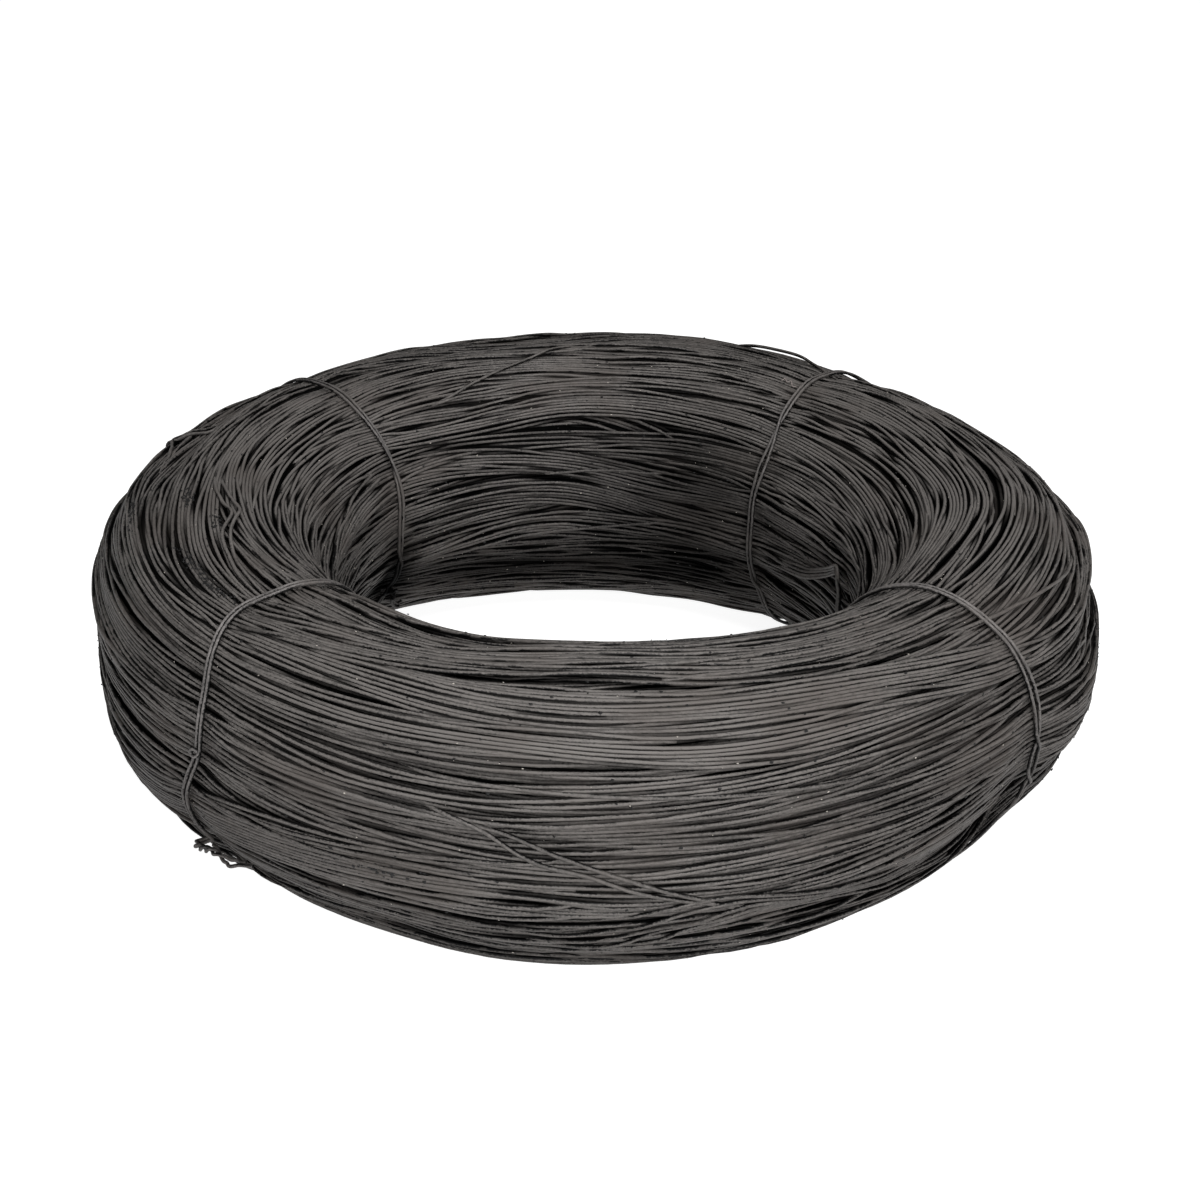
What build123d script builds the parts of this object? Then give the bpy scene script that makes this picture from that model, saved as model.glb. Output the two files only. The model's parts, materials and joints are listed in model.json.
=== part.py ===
from build123d import *
import math
import os

# A coil of black annealed tying wire, as it leaves the winding drum: one long soft steel wire laid
# in thousands of turns into a thick rounded ring, held together by four doubled ties of the same wire.
# The coil lies flat. Z is up, the axis of the coil is Z, and the floor is at Z = 0. All in millimetres.

# Driving sizes of the coil
outer_diameter = 400.0
bore_diameter = 208.0
height = 120.0
# Heights of the widest turns of the wall and of the middle of the bore's narrow waist
widest_level = 52.0
waist_level = 64.0
waist_length = 16.0
# Circles on which the highest turns and the middle of the pressed-flat foot lie
crown_diameter = 306.0
foot_diameter = 302.0
foot_width = 16.0
# Roundness of the four shoulders: 2 is an ellipse, more is squarer, less is slacker
lower_wall_roundness = 1.6
upper_wall_roundness = 2.8
upper_bore_roundness = 1.8
lower_bore_roundness = 1.9
# A lay is a band of neighbouring turns: its width, and how far its ridge stands proud of its edges
lay_width = 18.0
lay_height = 0.5
# How deep the valleys between lays are pressed in, one after the other and then over again
valley_depths = (1.6, 0.9, 1.3)

# The wire, and the free space left round a tie where it is pressed into the turns
wire_diameter = 1.6
seat_gap = 0.3
# The two strands of a doubled tie, from centre to centre
strand_spacing = 1.8

# The knot of a tie: the folded end is an eye, and the two tails pass over it and are twisted together
eye_radius = 1.6
knot_gap = 0.25
tail_landing = 3.0
twist_pitch = 7.0
twist_turns = 2.25

# Facets: how many go round a tie wire, straight runs in one turn of the twist and in the half turn of the eye
wire_facet_count = 6
twist_steps = 8
eye_steps = 4
# Straight runs used to measure along a shoulder
shoulder_steps = 240

# Each tie's place round the coil, in degrees anticlockwise from the front seen from above, and the
# place of its knot's eye round the section, in degrees up from the outer side seen from the section's
# middle: past 90 it is in the bore. The twisted tails hang down from the eye.
ties = {
    "tie_front_left": (-44.0, -30.0),
    "tie_front_right": (52.0, 10.0),
    "tie_back_left": (-128.5, 222.0),
    "tie_back_right": (139.5, 62.0),
}


def shoulder(side, end, roundness):
    """Points (radius, height) on the rounded shoulder from a side point, where the outline is upright,
    to an end point, where it is level: a quarter of a superellipse."""
    points = []
    for i in range(shoulder_steps + 1):
        angle = math.pi / 2 * i / shoulder_steps
        across = max(math.cos(angle), 0.0) ** (2 / roundness)
        up = math.sin(angle) ** (2 / roundness)
        points.append((end[0] + (side[0] - end[0]) * across, side[1] + (end[1] - side[1]) * up))
    return points


def equal_lays(points):
    """The same curve cut into lays of equal width, as near to lay_width as a whole number allows."""
    lengths = [0.0]
    for a, b in zip(points, points[1:]):
        lengths.append(lengths[-1] + math.dist(a, b))
    count = max(2, round(lengths[-1] / lay_width))
    cuts = []
    for i in range(1, count):
        wanted = lengths[-1] * i / count
        j = next(k for k, length in enumerate(lengths) if length >= wanted)
        share = (wanted - lengths[j - 1]) / (lengths[j] - lengths[j - 1])
        a, b = points[j - 1], points[j]
        cuts.append((a[0] + (b[0] - a[0]) * share, a[1] + (b[1] - a[1]) * share))
    return [points[0], *cuts, points[-1]]


def lay_edges():
    """Corners (radius, height) of the coil's section, from the foot's outer edge up the wall, over the
    crown, down the bore and back to the foot. Each is the valley between two lays."""
    foot_outer = (foot_diameter / 2 + foot_width / 2, 0.0)
    foot_inner = (foot_diameter / 2 - foot_width / 2, 0.0)
    widest = (outer_diameter / 2, widest_level)
    crown = (crown_diameter / 2, height)
    waist_top = (bore_diameter / 2, waist_level + waist_length / 2)
    waist_bottom = (bore_diameter / 2, waist_level - waist_length / 2)
    lower_wall = equal_lays(shoulder(widest, foot_outer, lower_wall_roundness))[::-1]
    upper_wall = equal_lays(shoulder(widest, crown, upper_wall_roundness))
    upper_bore = equal_lays(shoulder(waist_top, crown, upper_bore_roundness))[::-1]
    lower_bore = equal_lays(shoulder(waist_bottom, foot_inner, lower_bore_roundness))
    return lower_wall + upper_wall[1:] + upper_bore[1:] + lower_bore


def on_section(points):
    """The same points on the XZ plane, where X is the radius."""
    return [Vector(r, 0, z) for r, z in points]


def is_pressed_flat(start, end):
    """True for the foot, which is level, and for the waist of the bore, which is upright."""
    return abs(start[1] - end[1]) < 1e-6 or abs(start[0] - end[0]) < 1e-6


def bears_a_size(edge):
    """True for the corners that carry the driving sizes: the widest, the highest, and those of the foot
    and of the waist. No valley is pressed in there."""
    return edge[1] in (0.0, widest_level, height) or edge[0] == bore_diameter / 2


def ridged(edges):
    """The section with a ridge in the middle of every lay, apart from the foot and the waist, and with a
    valley between two lays."""
    outline = []
    below = inset(edges, 1.0)
    valleys = 0
    for start, under, end in zip(edges, below, edges[1:] + edges[:1]):
        if bears_a_size(start):
            outline.append(start)
        else:
            deep = valley_depths[valleys % len(valley_depths)]
            outline.append((start[0] + (under[0] - start[0]) * deep, start[1] + (under[1] - start[1]) * deep))
            valleys += 1
        if not is_pressed_flat(start, end):
            width = math.dist(start, end)
            r = (start[0] + end[0]) / 2 + (end[1] - start[1]) / width * lay_height
            z = (start[1] + end[1]) / 2 - (end[0] - start[0]) / width * lay_height
            outline.append((r, z))
    return outline


def turned_coil(edges):
    """The whole winding as one turned ring, with every lay a ridge round it."""
    return revolve(make_face(Polyline(*on_section(ridged(edges)), close=True)), Axis.Z)


def inset(edges, depth):
    """The section's corners moved straight inwards, so that every side stays parallel to itself."""
    moved = []
    for before, here, after in zip(edges[-1:] + edges[:-1], edges, edges[1:] + edges[:1]):
        first = Vector(here[0] - before[0], here[1] - before[1]).normalized()
        second = Vector(after[0] - here[0], after[1] - here[1]).normalized()
        inwards = Vector(-first.Y - second.Y, first.X + second.X).normalized()
        reach = depth / inwards.dot(Vector(-first.Y, first.X))
        moved.append((here[0] + inwards.X * reach, here[1] + inwards.Y * reach))
    return moved


def tie_channel(edges):
    """The groove that a tie presses into the turns, all round the section, as a solid to cut away."""
    width = strand_spacing + wire_diameter + 2 * seat_gap
    floor = inset(edges, wire_diameter + 2 * seat_gap)
    beyond = inset(edges, -lay_height - wire_diameter)
    face = make_face(Polyline(*on_section(beyond), close=True))
    face -= make_face(Polyline(*on_section(floor), close=True))
    return extrude(face, width / 2, both=True)


def eye_place(ring, angle):
    """How far along the ring, from its first corner, the eye lies: where a ray from the section's
    middle, that many degrees up from the outer side, meets the ring."""
    middle = Vector(crown_diameter / 2, height / 2)
    ray = Vector(1, 0).rotate(Axis.Z, angle)
    across = Vector(0, 1).rotate(Axis.Z, angle)
    distance = 0.0
    for a, b in zip(ring, ring[1:] + ring[:1]):
        from_a, from_b = Vector(*a) - middle, Vector(*b) - middle
        past_a, past_b = from_a.dot(across), from_b.dot(across)
        if (from_a + from_b).dot(ray) > 0 and past_a * past_b <= 0:
            return distance + math.dist(a, b) * past_a / (past_a - past_b)
        distance += math.dist(a, b)


def lifted_off_ring(ring, distance, lift):
    """The point at that distance along the ring from its first corner, lifted off it on its right-hand
    side. The direction of the lift turns evenly from one corner to the next."""
    beside = inset(ring, -1.0)
    left = distance % sum(math.dist(a, b) for a, b in zip(ring, ring[1:] + ring[:1]))
    for i, a in enumerate(ring):
        j = (i + 1) % len(ring)
        run = math.dist(a, ring[j])
        if left <= run:
            break
        left -= run
    share = left / run
    point = Vector(*a) + (Vector(*ring[j]) - Vector(*a)) * share
    point_beside = Vector(*beside[i]) + (Vector(*beside[j]) - Vector(*beside[i])) * share
    return point + (point_beside - point).normalized() * lift


def tie_path(edges, angle):
    """The centre line of one tie: up the first twisted tail, over the eye, round the coil to the eye,
    through the eye's fold, back round the coil, over the eye and down the second tail."""
    ring = inset(edges, wire_diameter / 2 + seat_gap)
    outward = 1
    if math.cos(math.radians(angle)) < 0:
        # In the bore the section's corners run downwards, so they are turned round to run up from the eye
        ring = ring[::-1]
        outward = -1
    eye_at = eye_place(ring, angle)

    def place(up, across, lift):
        """A point that far up from the eye's middle along the seat, to the side, and out of the seat."""
        point = lifted_off_ring(ring, eye_at + up, lift * outward)
        return Vector(point.X, across, point.Y)

    lengths = [math.dist(a, b) for a, b in zip(ring, ring[1:] + ring[:1])]
    round_coil = sum(lengths)
    corners = sorted((sum(lengths[:i]) - eye_at) % round_coil for i in range(len(ring)))
    half = strand_spacing / 2
    eye_lift = wire_diameter + seat_gap + lay_height + knot_gap
    tail_lift = eye_lift + wire_diameter + knot_gap
    eye_reach = eye_radius + wire_diameter
    seated_from = eye_reach + tail_landing
    seated_to = round_coil - seated_from

    def strand(sign):
        """One strand from the end of its tail to the foot of the eye."""
        points = []
        for i in range(round(twist_turns * twist_steps), -1, -1):
            turn = 2 * math.pi * i / twist_steps
            down = eye_reach + twist_pitch * i / twist_steps
            across = sign * half * math.cos(turn)
            points.append(place(-down, across, tail_lift + sign * half * math.sin(turn)))
        points.append(place(eye_reach, sign * half, tail_lift))
        bends = [c for c in corners if seated_from + wire_diameter < c < seated_to - wire_diameter]
        seated = [seated_from, *bends, seated_to]
        points += [place(distance, sign * half, 0) for distance in seated]
        return [*points, place(-eye_radius, sign * half, eye_lift)]

    eye = []
    for i in range(eye_steps + 1):
        bend = math.pi / 2 - math.pi * i / eye_steps
        eye.append(place(eye_radius * math.cos(bend), eye_radius * math.sin(bend), eye_lift))
    return strand(1) + eye + strand(-1)[::-1]


def doubled_tie(path):
    """One length of wire bent along the path."""
    line = Polyline(*path)
    end = Plane(origin=line @ 0, z_dir=line % 0) * RegularPolygon(wire_diameter / 2, wire_facet_count)
    return sweep(end, path=line, transition=Transition.RIGHT)


def to_azimuth(shape, azimuth):
    """Turns a shape made on the XZ plane to its place round the coil, measured from the front, -Y."""
    return Rot(0, 0, azimuth - 90) * shape


edges = lay_edges()
coil = turned_coil(edges)
os.makedirs("parts", exist_ok=True)
for name, (azimuth, angle) in ties.items():
    coil -= to_azimuth(tie_channel(edges), azimuth)
    tie = to_azimuth(doubled_tie(tie_path(edges, angle)), azimuth)
    export_step(tie, f"parts/{name}.step")
    print(name, "solids", len(tie.solids()), "volume", round(tie.volume))
export_step(coil, "parts/wire_coil.step")
print("lays", len(edges), "coil volume", round(coil.volume), "solids", len(coil.solids()))
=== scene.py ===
# %% [markdown]
# # A coil of black annealed tying wire
#
# The real thing is one soft steel wire, almost two kilometres of it, laid turn upon turn on a drum and
# slipped off. Four doubled ties of the same wire hold the ring together. After annealing, the steel is
# covered with a thin black scale of iron oxide that is rubbed grey wherever turns slide on each other.
#
# A ring with a striped bump map would look like a tyre. What makes a coil a coil is that every turn is a
# separate thing: it lies on the turns below, is pushed aside by its neighbours, wanders off and crosses
# others, and leaves dark gaps. So this lesson lays the outer turns one by one as numbers, lets them settle
# against each other, and only then makes tubes of them. All shapes are worked out in millimetres and
# turned to metres when a mesh is made.

# %% The frame and the tools
import json
import math

import bpy
import numpy as np
from mathutils import Matrix, Vector


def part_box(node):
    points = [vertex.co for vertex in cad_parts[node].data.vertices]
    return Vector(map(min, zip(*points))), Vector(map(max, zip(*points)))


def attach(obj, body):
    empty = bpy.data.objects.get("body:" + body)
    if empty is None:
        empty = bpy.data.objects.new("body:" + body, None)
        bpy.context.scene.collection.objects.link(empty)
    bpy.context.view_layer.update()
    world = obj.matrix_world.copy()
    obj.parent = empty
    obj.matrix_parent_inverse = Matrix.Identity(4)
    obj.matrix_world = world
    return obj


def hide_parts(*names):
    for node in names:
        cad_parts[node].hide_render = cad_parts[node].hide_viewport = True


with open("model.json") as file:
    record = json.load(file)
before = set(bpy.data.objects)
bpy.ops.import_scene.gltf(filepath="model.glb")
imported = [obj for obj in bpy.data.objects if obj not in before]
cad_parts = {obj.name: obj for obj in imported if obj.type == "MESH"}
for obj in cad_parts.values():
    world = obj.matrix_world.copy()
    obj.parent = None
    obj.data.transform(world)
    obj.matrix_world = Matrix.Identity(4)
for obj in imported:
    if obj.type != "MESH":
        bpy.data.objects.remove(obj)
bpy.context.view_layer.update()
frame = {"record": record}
MM = 0.001
random = np.random.default_rng(16)

# %% [markdown]
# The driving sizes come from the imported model: its outer size and height, and the radius of the bore that
# the record states. The rest describes the section: where the wall is widest, where the bore is narrowest,
# and how square or slack each of the four shoulders is.

# %% Sizes of the winding, in millimetres
low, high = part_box("wire_coil")
mounts = {mount["name"]: mount for mount in frame["record"]["mounts"]}
bore_mount = mounts["bore"]
OUTER_R = (high.x - low.x) / 2 / MM
HEIGHT = high.z / MM
BORE_R = bore_mount["dims"]["r_mm"]
WAIST_LEVEL = bore_mount["pos_m"][2] / MM
WAIST_LENGTH = bore_mount["dims"]["length_mm"]
FOOT_R = mounts["foot"]["pos_m"][0] / MM
FOOT_WIDTH = 16.0
WIDEST_LEVEL = 52.0
CROWN_R = 153.0
# Roundness of the four shoulders: 2 is an ellipse, more is squarer, less is slacker
LOWER_WALL, UPPER_WALL, UPPER_BORE, LOWER_BORE = 1.6, 2.8, 1.8, 1.9
WIRE_D = 1.5
WIRE_R = WIRE_D / 2
print(f"coil {2 * OUTER_R:.1f} x {HEIGHT:.1f} mm, bore {2 * BORE_R:.1f} mm, wire {WIRE_D} mm")

# %% [markdown]
# The section is a closed line. We walk along it with one number, s, in millimetres: from the middle of the
# foot outwards, up the wall, over the crown, down the bore and back. A place in the winding is then
# (s, depth): how far round the section, and how deep under its surface. Laid out flat like this, the whole
# winding is a long strip, and the turns are nearly straight lines on it.

# %% The section of the winding
QUARTER_STEPS = 160


def shoulder(side, end, power):
    """A quarter of a superellipse, |x|^p + |y|^p = 1, from a side point, where the line is upright, to an
    end point, where it is level. side and end are (radius, height)."""
    angle = np.linspace(0.0, math.pi / 2, QUARTER_STEPS)
    across = np.clip(np.cos(angle), 0.0, 1.0) ** (2 / power)
    up = np.sin(angle) ** (2 / power)
    return np.stack([end[0] + (side[0] - end[0]) * across, side[1] + (end[1] - side[1]) * up], axis=1)


def section_line():
    """The closed line of the section as points (radius, height), from the middle of the foot outwards."""
    widest = (OUTER_R, WIDEST_LEVEL)
    crown = (CROWN_R, HEIGHT)
    waist_top = (BORE_R, WAIST_LEVEL + WAIST_LENGTH / 2)
    waist_bottom = (BORE_R, WAIST_LEVEL - WAIST_LENGTH / 2)
    parts = [
        np.array([[FOOT_R, 0.0]]),
        shoulder(widest, (FOOT_R + FOOT_WIDTH / 2, 0.0), LOWER_WALL)[::-1],
        shoulder(widest, crown, UPPER_WALL)[1:],
        shoulder(waist_top, crown, UPPER_BORE)[::-1][1:],
        shoulder(waist_bottom, (FOOT_R - FOOT_WIDTH / 2, 0.0), LOWER_BORE),
        np.array([[FOOT_R, 0.0]]),
    ]
    return np.concatenate(parts)


line = section_line()
run = np.concatenate([[0.0], np.cumsum(np.hypot(*np.diff(line, axis=0).T))])
PERIMETER = run[-1]
# The same line at even steps, closed, with its outward direction smoothed over the corners of the foot
TABLE, CORNER_STEPS = 720, 6
even = np.linspace(0.0, PERIMETER, TABLE, endpoint=False)
section = np.stack([np.interp(even, run, line[:, 0]), np.interp(even, run, line[:, 1])], axis=1)
along = np.roll(section, -CORNER_STEPS, axis=0) - np.roll(section, CORNER_STEPS, axis=0)
outward = np.stack([along[:, 1], -along[:, 0]], axis=1)
outward /= np.linalg.norm(outward, axis=1, keepdims=True)


def on_section(s, depth):
    """The radius and height of points s along the section and depth under its surface, and the outward
    direction there."""
    at = np.mod(s, PERIMETER) / PERIMETER * TABLE
    i = np.floor(at).astype(int) % TABLE
    j = (i + 1) % TABLE
    t = (at - np.floor(at))[..., None]
    point = section[i] * (1 - t) + section[j] * t
    out = outward[i] * (1 - t) + outward[j] * t
    point = point - out * np.asarray(depth)[..., None]
    return point[..., 0], point[..., 1], out


def to_space(azimuth, s, depth):
    """Points in space, in millimetres, and the outward direction there. Azimuth 0 is the front, -Y, and it
    runs anticlockwise seen from above."""
    r, z, out = on_section(s, depth)
    x_dir, y_dir = np.sin(azimuth), -np.cos(azimuth)
    points = np.stack([r * x_dir, r * y_dir, z], axis=-1)
    outwards = np.stack([out[..., 0] * x_dir, out[..., 0] * y_dir, out[..., 1]], axis=-1)
    return points, outwards


def s_at(radius, height):
    """How far along the section the surface point nearest to (radius, height) is."""
    return even[np.argmin(np.hypot(section[:, 0] - radius, section[:, 1] - height))]


S_WIDEST = s_at(OUTER_R, WIDEST_LEVEL)
S_CROWN = s_at(CROWN_R, HEIGHT)
S_WAIST = s_at(BORE_R, WAIST_LEVEL)
print(f"section {PERIMETER:.0f} mm round, wall at {S_WIDEST:.0f}, crown {S_CROWN:.0f}, waist {S_WAIST:.0f}")

# %% [markdown]
# The ties pull the ring together, so the winding is pinched under each of them: a narrow dent where the
# tie lies and a wide, shallow one where the turns gather towards it. Round the ring the turns are followed
# at stations, which are closer together near the ties, where the turns bend most.

# %% Ties and stations round the ring
TIE_AZIMUTHS = {
    "tie_front_left": math.radians(-44.0),
    "tie_front_right": math.radians(52.0),
    "tie_back_left": math.radians(-128.5),
    "tie_back_right": math.radians(139.5),
}
# The track of each tie as (s, degrees): a tie never runs quite straight round the section
TIE_TRACKS = {
    "tie_front_left": [
        (20, -45.6), (54, -46.2), (60, -46.2), (71, -46.4), (84, -45.4), (100, -42.8), (112, -42.7),
        (122, -42.7), (132, -43.7), (145, -44.5), (159, -45.1), (167, -44.8), (175, -44.3), (185, -43.8),
        (203, -45.5), (225, -45),
    ],
    "tie_front_right": [
        (20, 47), (46, 48.5), (54, 51), (59, 52.8), (65, 54), (71, 54.4), (78, 53.8), (86, 53),
        (92, 52.8), (98, 52.9), (110, 52.8), (120, 52.6), (130, 51.9), (140, 51.8), (150, 51.6),
        (160, 51.2), (200, 51.2),
    ],
    "tie_back_left": [
        (200, -128), (240, -127.4), (262, -126.8), (275, -127), (285, -127.8), (300, -128.5), (340, -128),
    ],
    "tie_back_right": [
        (110, 137), (140, 136.4), (150, 136.9), (158, 138), (166, 139.3), (184, 140.4), (203, 140),
        (217, 138.9), (237, 138.4), (260, 139),
    ],
}
STATIONS = 176
DENSER = 1.3
DENSE_ANGLE = math.radians(6.0)


def from_angle(azimuth, other):
    """The angle from another azimuth, between minus and plus half a turn."""
    return (azimuth - other + math.pi) % (2 * math.pi) - math.pi


def bell(away, reach):
    """A bell curve, exp(-(away / reach)^2)."""
    return np.exp(-((away / reach) ** 2))


def stations():
    """Azimuths of the stations: steps that are shorter near the ties, by running backwards through the sum
    of a density."""
    fine = np.linspace(-math.pi, math.pi, 7201)
    density = np.ones_like(fine)
    for tie in TIE_AZIMUTHS.values():
        density += DENSER * bell(from_angle(fine, tie), DENSE_ANGLE)
    total = np.concatenate([[0.0], np.cumsum((density[1:] + density[:-1]) / 2)])
    return np.interp(np.linspace(0.0, total[-1], STATIONS, endpoint=False), total, fine)


AZIMUTH = stations()
steps = np.degrees(np.diff(AZIMUTH))
print(f"{STATIONS} stations, {steps.min():.2f} to {steps.max():.2f} degrees apart")
NARROW_DENT, NARROW_WIDTH = 1.5, 11.0
WIDE_DENT, WIDE_WIDTH = 2.4, 51.0
# The front ties hardly press the inner side of the crown: how much less, where, and how far that reaches
EASED = {"tie_front_left": 0.65, "tie_front_right": 0.65, "tie_back_left": 0.0, "tie_back_right": 0.0}
EASED_AT, EASED_REACH = 186.0, 24.0


def track(name, s):
    """The azimuth of a tie at s along the section."""
    places = np.array(TIE_TRACKS[name])
    return np.interp(np.mod(s, PERIMETER), places[:, 0], np.radians(places[:, 1]), period=PERIMETER)


def pinch(azimuth, s):
    """How far the ties draw the surface in, in millimetres: two bell curves of the distance to each tie."""
    r, _, _ = on_section(s, np.zeros_like(s))
    depth = 0.0
    for name, eased in EASED.items():
        away = np.abs(from_angle(azimuth, track(name, s))) * r
        dents = NARROW_DENT * bell(away, NARROW_WIDTH) + WIDE_DENT * bell(away, WIDE_WIDTH)
        depth = depth + dents * (1 - eased * bell(np.mod(s, PERIMETER) - EASED_AT, EASED_REACH))
    return depth


# %% [markdown]
# A hand-laid ring is never quite round. This one is slimmer at the front than at the back, leans a little
# to one corner, and has a few slack places. Between the ridges of its bundles run shallow valleys. All of
# it is one smooth function of the place on the strip, made of bell curves and a few slanted waves.

# %% Out of round, slack places and valleys
SLIMMER_FRONT, LEANING = 1.8, 1.0
# Slack places: azimuth in degrees, radius and height on the section, how deep, reach in degrees, reach in mm
SLACK_PLACES = [
    (124, 184, 108, 1.6, 22, 45), (108, 193, 94, 4, 11, 30), (49, 199, 44, 1.5, 8, 24),
    (56, 196, 32, 4.2, 8, 17), (-28, 145, 119, 1, 7, 24), (62, 198, 76, -5.6, 9, 28),
    (60, 200, 60, -2.6, 6, 13), (40, 190, 20, 0.8, 12, 32), (-162, 165, 120, 1.6, 16, 30),
    (168, 165, 120, -1, 12, 30), (-106, 182, 110, 2.4, 9, 24), (-90, 199, 70, -2.6, 10, 28),
    (-122, 116, 18, 4.6, 11, 20), (-72, 199, 50, 1.2, 14, 34), (-18, 145, 119, 4.4, 13, 26),
    (-24, 185, 18, 2.8, 11, 30), (-57, 190, 20, -1.4, 9, 34), (-95, 160, 120, 3, 12, 30),
    (-127, 160, 120, -1.8, 9, 25), (-138, 116, 18, 4.2, 26, 30),
]
SLACK = [(degrees, s_at(radius, level), *rest) for degrees, radius, level, *rest in SLACK_PLACES]
VALLEYS = 26
VALLEY_DEPTH = 0.5
LAY_WIDTH = 18.0
LAY_DEPTHS = (1.6, 0.9, 1.3)
VALLEY_REACH, VALLEY_WANDER, VALLEY_FADE = 4.0, 3.0, 0.3
CORNERS = [FOOT_WIDTH / 2, S_WIDEST, S_CROWN, S_WAIST - WAIST_LENGTH / 2, S_WAIST + WAIST_LENGTH / 2]
CORNERS.append(PERIMETER - FOOT_WIDTH / 2)


def from_s(s, other):
    """The distance along the section from another place, between minus and plus half the perimeter."""
    return (s - other + PERIMETER / 2) % PERIMETER - PERIMETER / 2


def bells(azimuth, s, spots):
    """A sum of bell curves over the strip, much x exp(-(away in mm / reach)^2 - (away in degrees / reach)^2),
    one for each spot (azimuth in degrees, s, how much, reach in degrees, reach in millimetres)."""
    found = np.zeros(np.broadcast_shapes(np.shape(azimuth), np.shape(s)))
    for degrees, level, much, reach_degrees, reach in spots:
        away_s = from_s(s, level)
        away_angle = np.degrees(from_angle(azimuth, math.radians(degrees)))
        found = found + much * np.exp(-((away_s / reach) ** 2) - (away_angle / reach_degrees) ** 2)
    return found


def lay_valleys():
    """The valleys between the model's lays, as (s, depth, waves round the ring, phase): every shoulder of
    the section is cut into lays of equal width."""
    found = []
    for start, stop in zip(CORNERS, CORNERS[1:]):
        if stop - start > 1.01 * WAIST_LENGTH:
            count = round((stop - start) / LAY_WIDTH)
            for level in np.linspace(start, stop, count + 1)[1:-1]:
                deep = LAY_DEPTHS[len(found) % len(LAY_DEPTHS)]
                found.append((level, deep, int(random.integers(1, 4)), random.uniform(0, 2 * math.pi)))
    return found


lays = lay_valleys()
print("valleys between lays:", len(lays))
valley_round = random.integers(5, 17, size=VALLEYS)
valley_turns = random.integers(-3, 4, size=VALLEYS)
valley_phase = random.uniform(0, 2 * math.pi, size=VALLEYS)


def between_lays(azimuth, s):
    """How deep the valleys between the lays are at a place. They wander and fade as they go round."""
    depth = 0.0
    for level, deep, k, phase in lays:
        away = from_s(s, level + VALLEY_WANDER * np.cos(k * azimuth + phase))
        fades = 1 - VALLEY_FADE + VALLEY_FADE * np.cos((k + 1) * azimuth + 2 * phase)
        depth = depth + deep * fades * bell(away, VALLEY_REACH)
    return depth


def drawn_in(azimuth, s):
    """How far the real surface lies under the plain section: the ties' pinch, the ring's own shape, the
    slack places, the valleys between lays, and small ones as a sum of waves cos(m 2 pi s / perimeter + k
    azimuth + phase)."""
    depth = pinch(azimuth, s) + SLIMMER_FRONT * np.cos(azimuth) + LEANING * np.sin(2 * azimuth)
    depth = depth + bells(azimuth, s, SLACK) + between_lays(azimuth, s)
    scale = VALLEY_DEPTH * math.sqrt(2 / VALLEYS)
    for m, k, phase in zip(valley_round, valley_turns, valley_phase):
        depth = depth + scale * np.cos(2 * math.pi * m * s / PERIMETER + k * azimuth + phase)
    return depth


# %% [markdown]
# A winding is laid in bundles: a few neighbouring turns run side by side for the whole way round, and the
# next few lie a little differently. Each bundle drifts up and down the section as it goes round, and
# bundles in a higher layer drift more, so they cross the ones below. On top of that each turn has its own
# small wander, so gaps open and close all along it. Every drift is a sum of waves that close up after one
# turn, with random sizes and phases.

# %% Laying the bundles
# Some bundles drift more than their layer does: how much, and how often
OWN_DRIFTS, DRIFT_ODDS = [0.5, 1.0, 2.2, 3.6], [0.38, 0.38, 0.16, 0.08]
# How much a bundle rises and sinks on its way, how much it lies higher or deeper as a whole, and how much
# each turn wanders and rises by itself, in millimetres
BUNDLE_RISE, BUNDLE_STEP, TURN_WANDER, TURN_RISE = 0.6, 0.4, 0.8, 0.35


def waves(rows, lowest, highest, falloff):
    """Closed random waves, one a row, with a mean size of 1: a sum of cos(k a + p) / k^falloff."""
    k = np.arange(lowest, highest + 1)
    size = random.normal(size=(rows, len(k), 2)) / (k**falloff)[None, :, None]
    angle = k[:, None] * AZIMUTH[None]
    found = size[..., 0] @ np.cos(angle) + size[..., 1] @ np.sin(angle)
    return found / math.sqrt((1.0 / k ** (2 * falloff)).sum())


def lay_layer(depth, pitch, spare, drift, size_range):
    """One layer of turns as (s, depth) at every station: bundles of size_range turns, pitch apart, with a
    gap of up to spare after each, and a bundle's drift of that mean size in millimetres."""
    starts, bundles = [], []
    at, bundle = random.uniform(0, 10), 0
    while at < PERIMETER - pitch:
        for _ in range(int(random.integers(*size_range))):
            starts.append(at)
            bundles.append(bundle)
            at += pitch
        at += random.uniform(0, spare)
        bundle += 1
    bundles = np.array(bundles)
    own = random.choice(OWN_DRIFTS, size=bundle, p=DRIFT_ODDS)
    bundle_drift = waves(bundle, 1, 5, 1.0) * (drift * own)[:, None] + waves(bundle, 4, 10, 1.0)
    bundle_depth = waves(bundle, 1, 8, 0.6) * BUNDLE_RISE + random.normal(size=(bundle, 1)) * BUNDLE_STEP
    s = np.array(starts)[:, None] + bundle_drift[bundles]
    s = s + waves(len(starts), 2, 16, 1.0) * TURN_WANDER
    d = depth + bundle_depth[bundles] + waves(len(starts), 2, 14, 0.7) * TURN_RISE
    return s, d


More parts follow.
